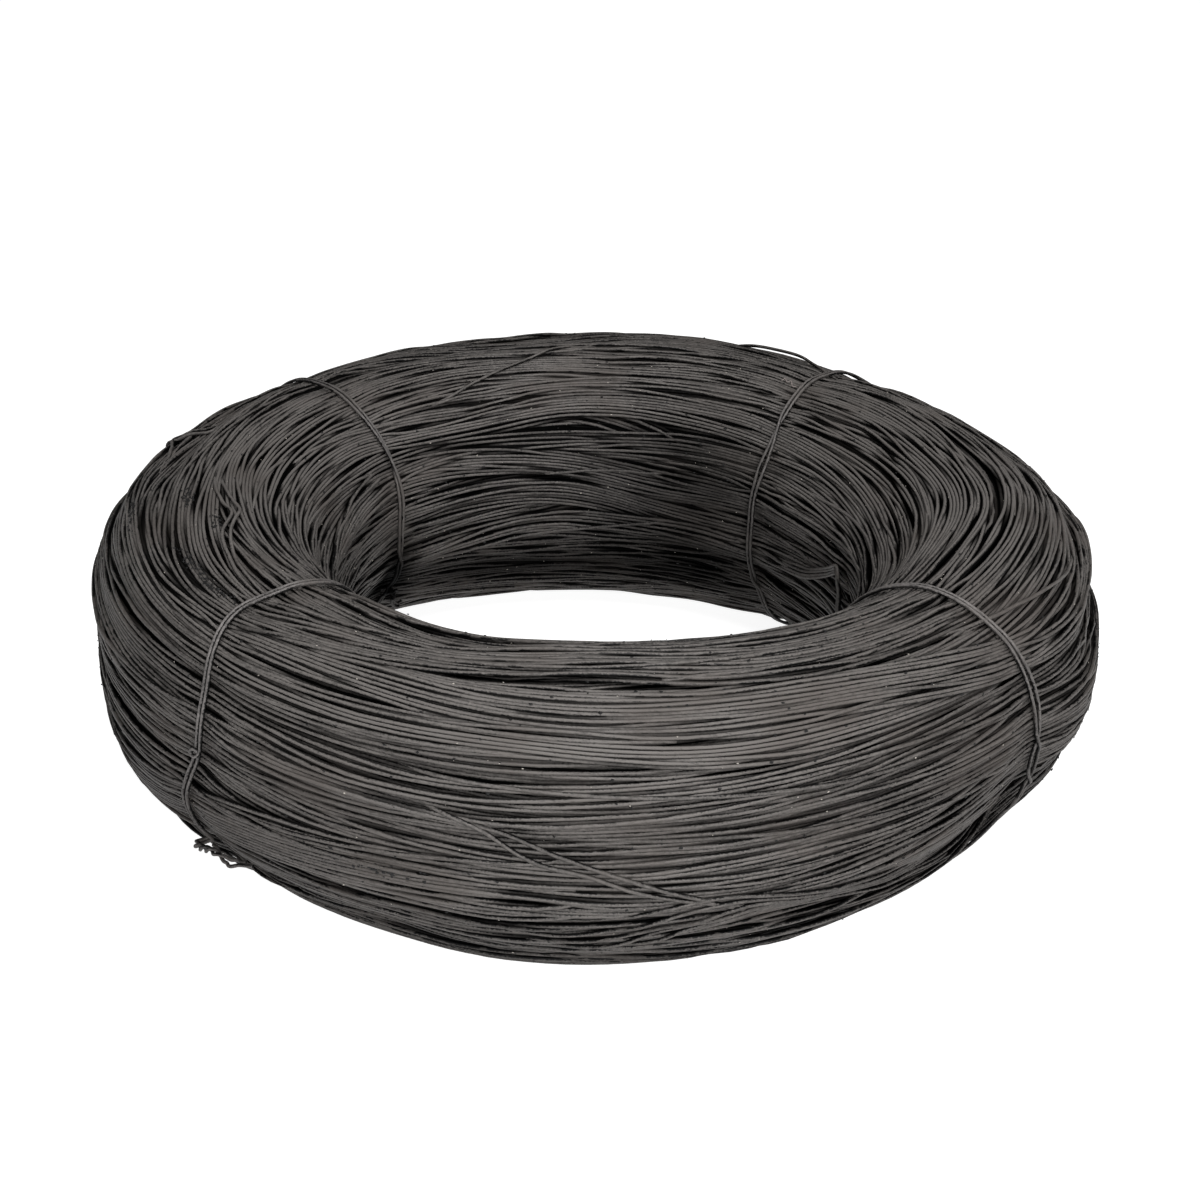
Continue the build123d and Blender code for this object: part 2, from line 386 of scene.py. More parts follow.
# Between two ties the turns sag on the wall and arch in the bore, all together: azimuth in degrees, s,
# how far they move along the section in millimetres, reach in degrees, reach in millimetres
SAGS = [(-8, 88, -10, 28, 58), (176, 268, -9, 36, 34), (-85, 150, 5, 30, 50)]
layers = [
    lay_layer(depth=3.7, pitch=1.46, spare=1.5, drift=1.2, size_range=(6, 20)),
    lay_layer(depth=2.4, pitch=1.48, spare=2.5, drift=2.2, size_range=(4, 16)),
    lay_layer(depth=1.0, pitch=1.52, spare=4.0, drift=3.2, size_range=(3, 14)),
]
turn_s = np.concatenate([s for s, _ in layers])
turn_s = turn_s + bells(AZIMUTH[None], turn_s, SAGS)
turn_depth = np.concatenate([d for _, d in layers])
print("turns laid:", [len(s) for s, _ in layers], "in all", len(turn_s))

# %% [markdown]
# Now the turns settle. In every round each turn sinks a little, and two turns that are nearer to each
# other than one wire's thickness push each other apart, along the line that joins them. Each push is
# spread along the wire, because a wire can't make a sharp step. Neighbours are found by sorting the turns
# of one station by s and comparing each with the next few. It is a tiny simulation in which one array
# holds all turns at all stations, so there is no loop over turns.

# %% Settling
NEIGHBOURS = 9
FLOOR_DEPTH = 4.4
PROUD = 0.7
# Soft turns bed a little into each other, so their middles come nearer than one thickness
CONTACT = 1.4
# The least distance counted between two middles, how much of a push goes sideways, the longest move in one
# round, and how far a turn sinks in the first round
CLOSEST, SIDEWAYS, LONGEST_MOVE, SINK = 0.05, 0.8, 0.6, 0.05
# Rounds of smoothing on the largest circle and on the smallest
CALM_WALL, CALM_BORE = 4, 16


def spread(move, times):
    """Smooths moves along the turns, which are closed."""
    for _ in range(times):
        move = 0.5 * move + 0.25 * (np.roll(move, 1, axis=1) + np.roll(move, -1, axis=1))
    return move


def neighbours(s, d):
    """Sorts the turns of every station by s. Gives the order, and for each k the differences in s and depth
    to the k-th next turn."""
    s = np.mod(s, PERIMETER)
    order = np.argsort(s, axis=0)
    sorted_s, sorted_d = np.take_along_axis(s, order, 0), np.take_along_axis(d, order, 0)
    steps = []
    for k in range(1, NEIGHBOURS + 1):
        gap_s = np.roll(sorted_s, -k, axis=0) - sorted_s
        gap_s[-k:] += PERIMETER
        steps.append((k, gap_s, np.roll(sorted_d, -k, axis=0) - sorted_d))
    return order, steps


def settle(s, d, rounds, sink):
    """Lets turns sink and push each other apart for that many rounds."""
    near_tie = np.clip(pinch(AZIMUTH, np.full_like(AZIMUTH, S_CROWN)) / WIDE_DENT, 0, 1)
    highest = WIRE_R - PROUD * (1 - near_tie[None])
    for count in range(rounds):
        d = d + sink * (1 - count / rounds)
        order, steps = neighbours(s, d)
        push_s, push_d = np.zeros_like(s), np.zeros_like(d)
        for k, gap_s, gap_d in steps:
            apart = np.maximum(np.hypot(gap_s, gap_d), CLOSEST)
            press = np.clip(CONTACT - apart, 0, None) / apart * 0.5
            press_s, press_d = press * gap_s * SIDEWAYS, press * gap_d
            push_s += np.roll(press_s, k, axis=0) - press_s
            push_d += np.roll(press_d, k, axis=0) - press_d
        move_s, move_d = np.zeros_like(s), np.zeros_like(d)
        np.put_along_axis(move_s, order, push_s, 0)
        np.put_along_axis(move_d, order, push_d, 0)
        s = s + spread(np.clip(move_s, -LONGEST_MOVE, LONGEST_MOVE), 4)
        d = d + spread(np.clip(move_d, -LONGEST_MOVE, LONGEST_MOVE), 3)
        d = np.clip(d, highest, FLOOR_DEPTH)
    return s, d


rounds = 130
turn_s, turn_depth = settle(turn_s, turn_depth, rounds, SINK)
turn_s, turn_depth = settle(turn_s, turn_depth, rounds // 3, 0.0)


def calmed(values, radius):
    """Smooths along the wire, more on the small circles of the bore than on the large ones of the wall, so
    that the bends are equally long everywhere."""
    inner = np.clip((OUTER_R - radius) / (OUTER_R - BORE_R), 0, 1)
    return spread(values, CALM_WALL) * (1 - inner) + spread(values, CALM_BORE) * inner


turn_radius, _, _ = on_section(turn_s.mean(axis=1), np.zeros(len(turn_s)))
turn_radius = turn_radius[:, None]
turn_s, turn_depth = calmed(turn_s, turn_radius), calmed(turn_depth, turn_radius)
turn_s, turn_depth = settle(turn_s, turn_depth, 12, 0.0)
# Small kinks along s and in depth, in millimetres: the smaller the circle, the slighter they are
KINK_S, KINK_DEPTH = 0.04, 0.03
kink = turn_radius / OUTER_R
turn_s = turn_s + waves(len(turn_s), 14, 60, 0.6) * KINK_S * kink
turn_depth = turn_depth + waves(len(turn_s), 14, 60, 0.6) * KINK_DEPTH * kink
print(f"settled: depths {turn_depth.min():.2f} to {turn_depth.max():.2f} mm")

# %% [markdown]
# The black scale is rubbed grey only where turns lie open, and turns that others cover are painted black as
# the shade they lie in. How open a turn lies at a place is worked out from what lies over it: every turn
# above it that is near hides part of it.

# %% How open each turn lies
COVER_REACH, COVER_RISE, DIMMING = 2.5, 1.2, 4.5


def openness(s, d):
    """1 for a turn in the open, towards 0 for a buried one: exp(-dimming x the sum of what the turns above
    cover), where each covers (1 - distance / reach), more when it lies a full wire higher."""
    order, steps = neighbours(s, d)
    cover = np.zeros_like(s)
    for k, gap_s, gap_d in steps:
        near = np.clip(1 - gap_s / COVER_REACH, 0, 1)
        cover += near * np.clip(gap_d / -COVER_RISE, 0, 1)
        cover += np.roll(near * np.clip(gap_d / COVER_RISE, 0, 1), k, axis=0)
    found = np.zeros_like(s)
    np.put_along_axis(found, order, np.exp(-DIMMING * cover), 0)
    return spread(found, 2)


turn_open = openness(turn_s, turn_depth)
print(f"turns in the open: {(turn_open.mean(axis=1) > 0.5).sum()}")

# %% [markdown]
# A tube round a path: at every point a small ring of corners is set round the path, upright to its
# direction, and neighbouring rings are joined by four-sided faces. Each tube carries a map of its own
# surface, with the length along the wire and the angle round it, and tells how far its scale is rubbed off
# and how much painted shade lies on it.

# %% Tubes
# How much darker a wire is painted towards its inner side than on its open face: partly less rubbing
# there, partly painted shade where the turns lie on each other
INNER_SIDE_WEAR_AND_SHADE = 0.28


def unit(v):
    """The same directions, each one long."""
    return v / np.maximum(np.linalg.norm(v, axis=-1, keepdims=True), 1e-9)


def as_piece(name, mesh, material):
    """An object in the scene that shows the mesh in that material."""
    mesh.materials.append(material)
    piece = bpy.data.objects.new(name, mesh)
    bpy.context.scene.collection.objects.link(piece)
    return piece


def tubes(name, paths, outwards, radius, sides, closed, wear_and_shade, material):
    """Joined tubes along paths, (wires, points, 3) in millimetres: corner = path + radius x (cos t out +
    sin t aside), with out and aside upright to the path. The seventh argument gives how far rubbing has
    thinned the scale at each point and how much painted shade lies there, and the side that looks into the
    winding is painted darker, for less rubbing and as painted shade."""
    wires, points, _ = paths.shape
    # The coil's weight presses the lowest wires level with the floor
    paths = np.concatenate([paths[..., :2], np.maximum(paths[..., 2:], radius)], axis=-1)
    if closed:
        ahead = np.roll(paths, -1, axis=1) - np.roll(paths, 1, axis=1)
        steps = np.linalg.norm(np.roll(paths, -1, axis=1) - paths, axis=-1)
    else:
        ahead = np.gradient(paths, axis=1)
        steps = np.linalg.norm(np.diff(paths, axis=1), axis=-1)
    forward = unit(ahead)
    aside = unit(np.cross(forward, outwards))
    out = np.cross(aside, forward)
    turn = math.pi + 2 * math.pi * np.arange(sides) / sides
    radius = np.broadcast_to(radius, (wires, points))[..., None, None]
    around = np.cos(turn)[:, None] * out[:, :, None] + np.sin(turn)[:, None] * aside[:, :, None]
    corners = (paths[:, :, None] + radius * around).reshape(-1, 3) * MM
    index = np.arange(wires * points * sides).reshape(wires, points, sides)
    following = np.roll(index, -1, axis=1)
    if not closed:
        index, following = index[:, :-1], following[:, :-1]
    faces = np.stack([index, np.roll(index, -1, 2), np.roll(following, -1, 2), following], axis=-1)
    first_length = random.uniform(0, 30, size=(wires, 1))
    length = first_length + np.concatenate([np.zeros((wires, 1)), np.cumsum(steps, axis=1)], axis=1) * MM
    u0, u1 = length[:, :-1, None], length[:, 1:, None]
    v0 = np.arange(sides)[None, None] / sides
    v1 = v0 + 1 / sides
    shape = faces.shape[:3]
    uv = np.stack([np.broadcast_to(a, shape) for a in (u0, v0, u0, v1, u1, v1, u1, v0)], axis=-1)
    faces = faces.reshape(-1, 4)
    loops = faces.reshape(-1)
    starts = np.arange(len(faces)) * 4
    totals = np.full(len(faces), 4)
    uv = uv.reshape(-1, 2)
    if not closed:
        first = np.arange(wires)[:, None] * points * sides + np.arange(sides)[None, ::-1]
        last = np.arange(wires)[:, None] * points * sides + (points - 1) * sides + np.arange(sides)[None]
        caps = np.concatenate([first, last]).reshape(-1)
        starts = np.concatenate([starts, len(loops) + np.arange(2 * wires) * sides])
        totals = np.concatenate([totals, np.full(2 * wires, sides)])
        loops = np.concatenate([loops, caps])
        uv = np.concatenate([uv, np.zeros((len(caps), 2))])
    mesh = bpy.data.meshes.new(name)
    mesh.vertices.add(len(corners))
    mesh.vertices.foreach_set("co", corners.astype(np.float32).reshape(-1))
    mesh.loops.add(len(loops))
    mesh.loops.foreach_set("vertex_index", loops.astype(np.int32))
    mesh.polygons.add(len(starts))
    mesh.polygons.foreach_set("loop_start", starts.astype(np.int32))
    mesh.polygons.foreach_set("loop_total", totals.astype(np.int32))
    mesh.polygons.foreach_set("use_smooth", np.ones(len(starts), bool))
    mesh.uv_layers.new(name="along_wire").data.foreach_set("uv", uv.astype(np.float32).reshape(-1))
    wear_and_side_shade = np.broadcast_to(wear_and_shade, (wires, points))[..., None]
    # Painted shade: darker towards the inner side, where the wire lies on others, and partly less rubbed
    # there
    wear_and_side_shade = wear_and_side_shade * (1 - INNER_SIDE_WEAR_AND_SHADE + INNER_SIDE_WEAR_AND_SHADE * np.cos(turn))
    shade = mesh.attributes.new("wear_and_shade", "FLOAT", "POINT")
    shade.data.foreach_set("value", np.clip(wear_and_side_shade, 0, 1.5).astype(np.float32).reshape(-1))
    mesh.update(calc_edges=True)
    mesh.validate()
    print(f"{name}: {wires} wires, {int((totals - 2).sum())} triangles")
    return as_piece(name, mesh, material)


# %% [markdown]
# The finish. Annealed low-carbon steel wire comes out of the furnace with black mill scale: magnetite, a
# dull blue-black oxide. Where turns rub, the scale thins and the steel shows through as a soft grey. A
# little brown oxide dust settles in patches. For the eye that gives dark, slightly warm greys with a broad,
# weak highlight along each wire, small mottling along its length, and larger cloudy patches. A picture
# could be wrapped round each wire, but nodes give every turn marks of its own. Three helpers come first: one
# for colours, one that adds any node, and one that starts a material.

# %% Helpers for materials
def linear(hex_colour):
    """An sRGB colour written in hex, as linear red, green, blue and alpha."""
    parts = [int(hex_colour[i : i + 2], 16) / 255 for i in (1, 3, 5)]
    return [p / 12.92 if p <= 0.04045 else ((p + 0.055) / 1.055) ** 2.4 for p in parts] + [1.0]


def add(tree, kind, inputs=(), **settings):
    """Adds a node with its settings. Its inputs are values, or sockets to link, in the node's own order or by
    name, and another node stands for its first output."""
    node = tree.nodes.new("ShaderNode" + kind)
    for key, value in settings.items():
        setattr(node, key, value)
    for key, value in inputs.items() if isinstance(inputs, dict) else enumerate(inputs):
        if isinstance(value, bpy.types.Node):
            value = value.outputs[0]
        if isinstance(value, bpy.types.NodeSocket):
            tree.links.new(value, node.inputs[key])
        else:
            node.inputs[key].default_value = value
    return node


def principled(name, values):
    """A new material with its tree and its Principled shader, of which these inputs are set."""
    material = bpy.data.materials.new(name)
    material.use_nodes = True
    shader = material.node_tree.nodes["Principled BSDF"]
    for key, value in values.items():
        shader.inputs[key].default_value = value
    return material, material.node_tree, shader

# %% [markdown]
# The steel starts from the number that each tube carries, how far it is rubbed and how much painted shade it
# gets. Streaks, grain and speckles break it up, and a ramp turns it from the black of the scale and of
# painted shade to the grey of the steel. Clouds of brown dust lie over that, and on the flanks of each wire
# black is painted in dashes, partly scale and partly the shade of the gaps between wires. The patterns read
# the tube's own map, so they run along the wire however it bends.

# %% The steel of the turns and the ties
# Lengths of the patterns in millimetres. Along the wire run the grain, the streaks, and the dashes and crumbs
# of the black on its flanks; speckles and clouds of dust lie in space. The real grain is too fine to show, so
# it is drawn coarser
GRAIN_MM, STREAK_MM, DASH_MM, CRUMB_MM = 2.4, 14.0, 7.0, 0.9
SPECKLE_MM, CLOUD_MM = 0.8, 38.0


def annealed_steel(name, scale_and_shade_black, rubbed_grey, brown, flank_black_and_shade):
    """Black annealed low-carbon steel with mill scale: black where it is buried, partly the scale and partly
    painted shade, grey where rubbing has bared it, with short streaks along the wire, a fine grain and clouds
    of brown dust. The last argument says how much black is painted on a wire's flanks where rubbing is most,
    partly scale and partly painted shade in the gaps between wires."""
    material, tree, shader = principled(name, {"Metallic": 0.1, "Roughness": 0.6})
    place = add(tree, "TexCoord")
    uv, in_space = place.outputs["UV"], place.outputs["Object"]
    wear_and_shade = add(tree, "Attribute", attribute_name="wear_and_shade").outputs["Fac"]

    def along_wire(length_mm, round_wire, detail):
        """Noise drawn out along the wire: so long, and so often round the wire."""
        drawn_out = add(tree, "Mapping", {"Vector": uv, "Scale": (1 / (length_mm * MM), round_wire, 1)})
        return add(tree, "TexNoise", {"Vector": drawn_out, "Scale": 1.0, "Detail": detail})

    streak = along_wire(STREAK_MM, 1.5, 3.0)
    grain = along_wire(GRAIN_MM, 6.0, 3.0)
    dashes = along_wire(DASH_MM, 2.0, 2.0)
    crumbs = along_wire(CRUMB_MM, 5.0, 2.0)
    flatter = add(tree, "Mapping", {"Vector": in_space, "Scale": (1, 1, 2)})
    cloud = add(tree, "TexNoise", {"Vector": flatter, "Scale": 1 / (CLOUD_MM * MM), "Detail": 3.0})
    speckle = add(tree, "TexNoise", {"Vector": in_space, "Scale": 1 / (SPECKLE_MM * MM)})
    # How worn the wire looks, together with its painted shade: how far it is rubbed and shaded x speckles x
    # grain x streaks. A map range takes a value, two limits for it, and what those become
    worn_and_shaded = wear_and_shade
    ranges = ((speckle, 0.3, 0.7, 0.76, 1.22), (grain, 0.34, 0.66, 0.66, 1.26), (streak, 0.3, 0.7, 0.7, 1.2))
    for values in ranges:
        even_pattern = add(tree, "MapRange", values)
        worn_and_shaded = add(tree, "Math", (worn_and_shaded, even_pattern), operation="MULTIPLY")
    # Painted shade: the black end of the ramp is also the shade on turns that others cover
    ramp = add(tree, "ValToRGB", (worn_and_shaded,))
    ramp.color_ramp.elements[0].color = linear(scale_and_shade_black)
    ramp.color_ramp.elements[1].color = linear(rubbed_grey)
    # Dust settles in the gaps too, where it evens out the black
    dusty = add(tree, "MapRange", (cloud, 0.5, 0.68, 0.0, 0.55))
    settles = add(tree, "MapRange", (wear_and_shade, 0.0, 1.0, 0.2, 1.0))
    dust = add(tree, "Math", (dusty, settles), operation="MULTIPLY")
    colour = add(tree, "MixRGB", (dust, ramp, linear(brown)))
    # Black is painted on the flanks in dashes, partly scale and partly the shade of the gaps between wires,
    # and more of it where little dust lies
    cleaner = add(tree, "MapRange", (cloud, 0.35, 0.65, 0.13, -0.13))
    open_gap = add(tree, "Math", (dashes, cleaner), operation="ADD")
    least = add(tree, "MapRange", (cloud, 0.45, 0.65, flank_black_and_shade, 0.2 * flank_black_and_shade))
    gap = add(tree, "MapRange", (open_gap, 0.46, 0.49, least, 1.0))
    # The open face of a wire lies at the middle of the map, so the distance from there tells the flanks. The
    # painted black of scale and shade has a ragged edge
    across = add(tree, "SeparateXYZ", (uv,)).outputs["Y"]
    off_middle = add(tree, "Math", (across, 0.5), operation="SUBTRACT")
    beside = add(tree, "Math", (off_middle,), operation="ABSOLUTE")
    ragged = add(tree, "MapRange", (crumbs, 0.2, 0.8, -0.13, 0.13))
    wider = add(tree, "MapRange", (open_gap, 0.48, 0.58, 0.0, 0.05))
    torn = add(tree, "Math", (ragged, wider), operation="ADD")
    edge = add(tree, "Math", (beside, torn), operation="ADD")
    flank = add(tree, "MapRange", (edge, 0.13, 0.23, 0.0, 1.0))
    # Turns that are rubbed most have lost some of the black on their flanks too, both scale and painted shade
    thinner = add(tree, "MapRange", (wear_and_shade, 0.7, 1.2, 1.0, 0.68))
    left_black_and_shade = add(tree, "Math", (gap, thinner), operation="MULTIPLY")
    flank_scale_and_shade = add(tree, "Math", (left_black_and_shade, flank), operation="MULTIPLY")
    whole = add(tree, "MixRGB", (flank_scale_and_shade, colour, linear(scale_and_shade_black)))
    bump = add(tree, "Bump", {"Height": grain, "Strength": 0.3, "Distance": 0.0002})
    # Scale that nothing has rubbed is matt
    sheen = add(tree, "MapRange", (wear_and_shade, 0.1, 0.9, 0.03, 0.3))
    for key, node in (("Base Color", whole), ("Normal", bump), ("Specular IOR Level", sheen)):
        tree.links.new(node.outputs[0], shader.inputs[key])
    return material


# Painted shade: the first colour is the black of scale and of shade, and the last number the black painted on
# the flanks, partly scale and partly the shade between wires, more on the ties between their two strands
TURN_STEEL = annealed_steel("black_annealed_steel_wire", "#020202", "#6b6764", "#534d49", 0.55)
TIE_STEEL = annealed_steel("black_annealed_steel_tie", "#040404", "#787472", "#5f5954", 0.9)
print(f"{TURN_STEEL.name} and {TIE_STEEL.name}, of {len(TURN_STEEL.node_tree.nodes)} nodes each")

# %% [markdown]
# What lies deeper is in full shadow. A dull black with fine specks is enough there.

# %% The steel of the heart
SPECKS_PER_METRE = 300.0


def heart_steel():
    """The inside of the winding, seen only through gaps: unrubbed scale in full shadow."""
    dull = {"Roughness": 0.9, "Specular IOR Level": 0.05}
    material, tree, shader = principled("black_mill_scale_in_shadow", dull)
    place = add(tree, "TexCoord").outputs["Object"]
    speck = add(tree, "TexNoise", {"Vector": place, "Scale": SPECKS_PER_METRE})
    ramp = add(tree, "ValToRGB", (speck,))
    ramp.color_ramp.elements[0].color = linear("#020202")
    ramp.color_ramp.elements[1].color = linear("#0a0a09")
    tree.links.new(ramp.outputs[0], shader.inputs["Base Color"])
    return material


HEART = heart_steel()
print("heart:", HEART.name)

# %% [markdown]
# How far a turn is rubbed, and how much painted light and shade it gets, comes from how open it lies, from
# the wire itself, from places where the ring was handled more and less, and from places painted lighter and
# darker as light and shade. Each of those places is one bell curve. Patches drawn on a picture would do the
# same, but numbers on the strip are easier to move and also reach the sides out of sight.

# %% How far the scale is rubbed, and where light and shade are painted
depth_now = turn_depth + drawn_in(AZIMUTH[None], turn_s)
space, space_out = to_space(AZIMUTH[None], turn_s, depth_now)
wire_tint = 1 + random.normal(size=(len(turn_s), 1)) * 0.10 + waves(len(turn_s), 3, 20, 0.4) * 0.05
# Where the turns are painted darker or lighter: partly rubbing, partly painted shade in the bore, on the left
# wall, low round the wall and beside the back-left tie, lighter on the inner side of the crown, and a painted
# highlight on the curl of the front-left tie. Azimuth in degrees, s, how much, reach in degrees, reach in mm
WEAR_LIGHT_AND_SHADE = [
    (-85, 90, -0.4, 35, 60), (160, 258, -0.6, 38, 44), (95, 268, -0.42, 30, 42),
    (-105, 268, -0.15, 28, 32), (-127.5, 286, -0.85, 7, 24), (-46.6, 96.5, 0.6, 1, 3),
    (153, 282, -0.22, 14, 26), (180, 297, -0.55, 55, 14), (-150, 300, -0.4, 22, 14),
    (149, 233, -0.22, 14, 16), (-11, 146, -0.2, 8, 12), (6, 104, -0.16, 22, 14),
    (-48, 120, -0.16, 9, 30), (8, 52, 0.16, 26, 16), (-102, 206, 0.25, 22, 24), (-44, 66, -0.2, 14, 20),
    (0, 138, 0.18, 32, 34), (34, 108, -0.28, 28, 36), (-34, 128, 0.1, 12, 24), (0, 40, -0.38, 900, 28),
    (55, 75, -0.2, 30, 40), (92, 190, 0.75, 30, 36), (105, 218, 0.55, 20, 24), (114, 238, 0.62, 18, 26),
    (-88, 190, 0.6, 28, 30), (180, 165, -0.5, 60, 24),
]
# Where dust makes the turns in the gaps grey too
DUSTED = [(4, 118, 0.38, 46, 40), (180, 180, 0.14, 50, 30)]
# How open a turn lies where it begins to be rubbed, how much more until it is rubbed in full, and how much
# darker the valleys between the lays are painted, as shade
OPENS_AT, OPENS_OVER, VALLEY_SHADE = 0.05, 0.46, 0.2


def wear_light_and_shade_of(points):
    """The rubbing, painted light and painted shade at points in space: that of the nearest place on the
    strip.
    """
    r = np.hypot(points[..., 0], points[..., 1])[..., None]
    nearest = np.argmin(np.hypot(r - section[:, 0], points[..., 2, None] - section[:, 1]), axis=-1)
    return 1 + bells(np.arctan2(points[..., 0], -points[..., 1]), even[nearest], WEAR_LIGHT_AND_SHADE)


valley_share = between_lays(AZIMUTH[None], turn_s) / max(LAY_DEPTHS)
# A turn is rubbed once it lies half open, and hardly before, and a covered turn is painted black as shade:
# 3 t^2 - 2 t^3
half_open = np.clip((turn_open - OPENS_AT) / OPENS_OVER, 0, 1)
half_open = 3 * half_open**2 - 2 * half_open**3
# Painted light and shade with the wear: covered turns and valleys darker, the listed places lighter and
# darker
wear_and_shade = half_open * wire_tint * (1 + bells(AZIMUTH[None], turn_s, WEAR_LIGHT_AND_SHADE)) * (1 - VALLEY_SHADE * valley_share)
wear_and_shade = wear_and_shade + bells(AZIMUTH[None], turn_s, DUSTED)
print(f"rubbed: {np.median(wear_and_shade):.2f} in the middle of all, {wear_and_shade.max():.2f} at the most")

# %% [markdown]
# The turns become tubes in several pieces, one for each side of the ring, because a piece should stay
# small enough to handle. Turns in the open get five sides, and those under the ring four. Turns that lie
# deep, which show only through gaps, get three sides and every second station.

# %% The turns
# How open a turn is on average that is drawn in full, or drawn at all, and where the sides of the ring part
NEAR_SURFACE, HIDDEN = 0.12, 0.01
FOOT_REACH, CROWN_REACH = 28.0, 30.0
middle_s = np.mod(turn_s.mean(axis=1), PERIMETER)
shown = turn_open.mean(axis=1)
is_open = shown > NEAR_SURFACE
edge_low, edge_high = FOOT_REACH, PERIMETER - FOOT_REACH
regions = {
    "turns_lower_wall": (edge_low, S_WIDEST),
    "turns_upper_wall": (S_WIDEST, S_CROWN - CROWN_REACH),
    "turns_crown": (S_CROWN - CROWN_REACH, S_CROWN + CROWN_REACH),
    "turns_bore": (S_CROWN + CROWN_REACH, edge_high),
}
print("turns near the surface:", int(is_open.sum()), "of", len(is_open))
pieces = []
for name, (start, stop) in regions.items():
    pick = (middle_s >= start) & (middle_s < stop) & is_open
    pieces.append(tubes(name, space[pick], space_out[pick], WIRE_R, 5, True, wear_and_shade[pick], TURN_STEEL))
pick = ((middle_s < edge_low) | (middle_s >= edge_high)) & is_open
under = space[pick], space_out[pick], WIRE_R, 4, True, wear_and_shade[pick], TURN_STEEL
pieces.append(tubes("turns_underside", *under))
deep = ~is_open & (shown > HIDDEN)
print("turns that nobody sees, left to the heart:", int((shown <= HIDDEN).sum()))
deep_paths, deep_out, deep_rubbed = space[deep][:, ::2], space_out[deep][:, ::2], wear_and_shade[deep][:, ::2]
pieces.append(tubes("turns_buried", deep_paths, deep_out, WIRE_R, 3, True, deep_rubbed, TURN_STEEL))
for piece in pieces:
    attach(piece, "root")

# %% [markdown]
# Under the turns that are laid one by one, a dark heart fills the ring and stands for the hundreds of
# turns that nobody sees.

# %% The heart of the winding
HEART_DEPTH = 5.6


def closed_surface(name, depth, rows, columns, material):
    """The section's line, that deep under the surface, carried round the ring as a closed grid."""
    s = np.linspace(0.0, PERIMETER, rows, endpoint=False)[:, None]
    azimuth = np.linspace(-math.pi, math.pi, columns, endpoint=False)[None]
    s, azimuth = np.broadcast_arrays(s, azimuth)
    points, _ = to_space(azimuth, s, depth + drawn_in(azimuth, s))
    index = np.arange(rows * columns).reshape(rows, columns)
    up = np.roll(index, -1, 0)
    faces = np.stack([index, np.roll(index, -1, 1), np.roll(up, -1, 1), up], axis=-1)
    mesh = bpy.data.meshes.new(name)
    mesh.from_pydata((points.reshape(-1, 3) * MM).tolist(), [], faces.reshape(-1, 4).tolist())
    mesh.polygons.foreach_set("use_smooth", np.ones(len(mesh.polygons), bool))
    print(f"{name}: {2 * len(mesh.polygons)} triangles")
    return as_piece(name, mesh, material)


heart = closed_surface("winding_heart", HEART_DEPTH, 96, 144, HEART)
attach(heart, "root")
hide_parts("wire_coil")

# %% [markdown]
# A wire that lies on the turns touches the highest of them. At a place on the strip, each turn that is
# nearer than one thickness carries it: seat = min(depth - sqrt(thickness^2 - distance^2)). A stiff wire
# bridges hollows, so the seat is taken as the highest nearby and then smoothed.

# %% What carries a wire
def seat_depth(azimuth, s):
    """Depth of the middle of a wire that rests on the turns, at places given as two equal lists."""
    at = np.searchsorted(AZIMUTH, azimuth, side="right") - 1
    after = (at + 1) % STATIONS
    share = ((azimuth - AZIMUTH[at]) % (2 * math.pi)) / ((AZIMUTH[after] - AZIMUTH[at]) % (2 * math.pi))
    near_s = turn_s[:, at] * (1 - share) + turn_s[:, after] * share
    near_depth = turn_depth[:, at] * (1 - share) + turn_depth[:, after] * share
    apart = from_s(near_s, s[None])
    rise = np.sqrt(np.clip(WIRE_D**2 - apart**2, 0, None))
    return np.where(rise > 0, near_depth - rise, FLOOR_DEPTH).min(axis=0)


def bridged(values, reach, softness, closed):
    """The smallest of the neighbours within reach steps, then smoothed."""
    mode = "wrap" if closed else "edge"
    padded = np.pad(values, reach, mode=mode)
    lowest = np.lib.stride_tricks.sliding_window_view(padded, 2 * reach + 1).min(axis=1)
    weights = bell(np.arange(-2 * softness, 2 * softness + 1), softness)
    return np.convolve(np.pad(lowest, 2 * softness, mode=mode), weights / weights.sum(), "valid")


def lengths_along(points):
    """How far along a path each of its points is."""
    return np.concatenate([[0.0], np.cumsum(np.linalg.norm(np.diff(points, axis=0), axis=1))])


def even_steps(points, outwards, step):
    """The same path at even steps in space, with its corners softened."""
    lengths = lengths_along(points)
    at = np.linspace(0.0, lengths[-1], int(lengths[-1] / step) + 1)
    columns = np.concatenate([points, outwards], axis=1)
    found = np.stack([np.interp(at, lengths, column) for column in columns.T], axis=1)
    for _ in range(2):
        found[1:-1] = 0.5 * found[1:-1] + 0.25 * (found[:-2] + found[2:])
    return found[:, :3], unit(found[:, 3:])


# %% [markdown]
# A tie is one length of the same wire folded in two. The two strands run round the section side by side,
# and where they change sides one climbs over the other. With a phase p that grows by half a turn at each
# crossing, across = half cos p and lift = thickness x max(0, sin p), and the other strand takes the
# opposite signs. The folded end is an eye, and the two ends come over it and are twisted together, a helix
# round a line bent by hand.

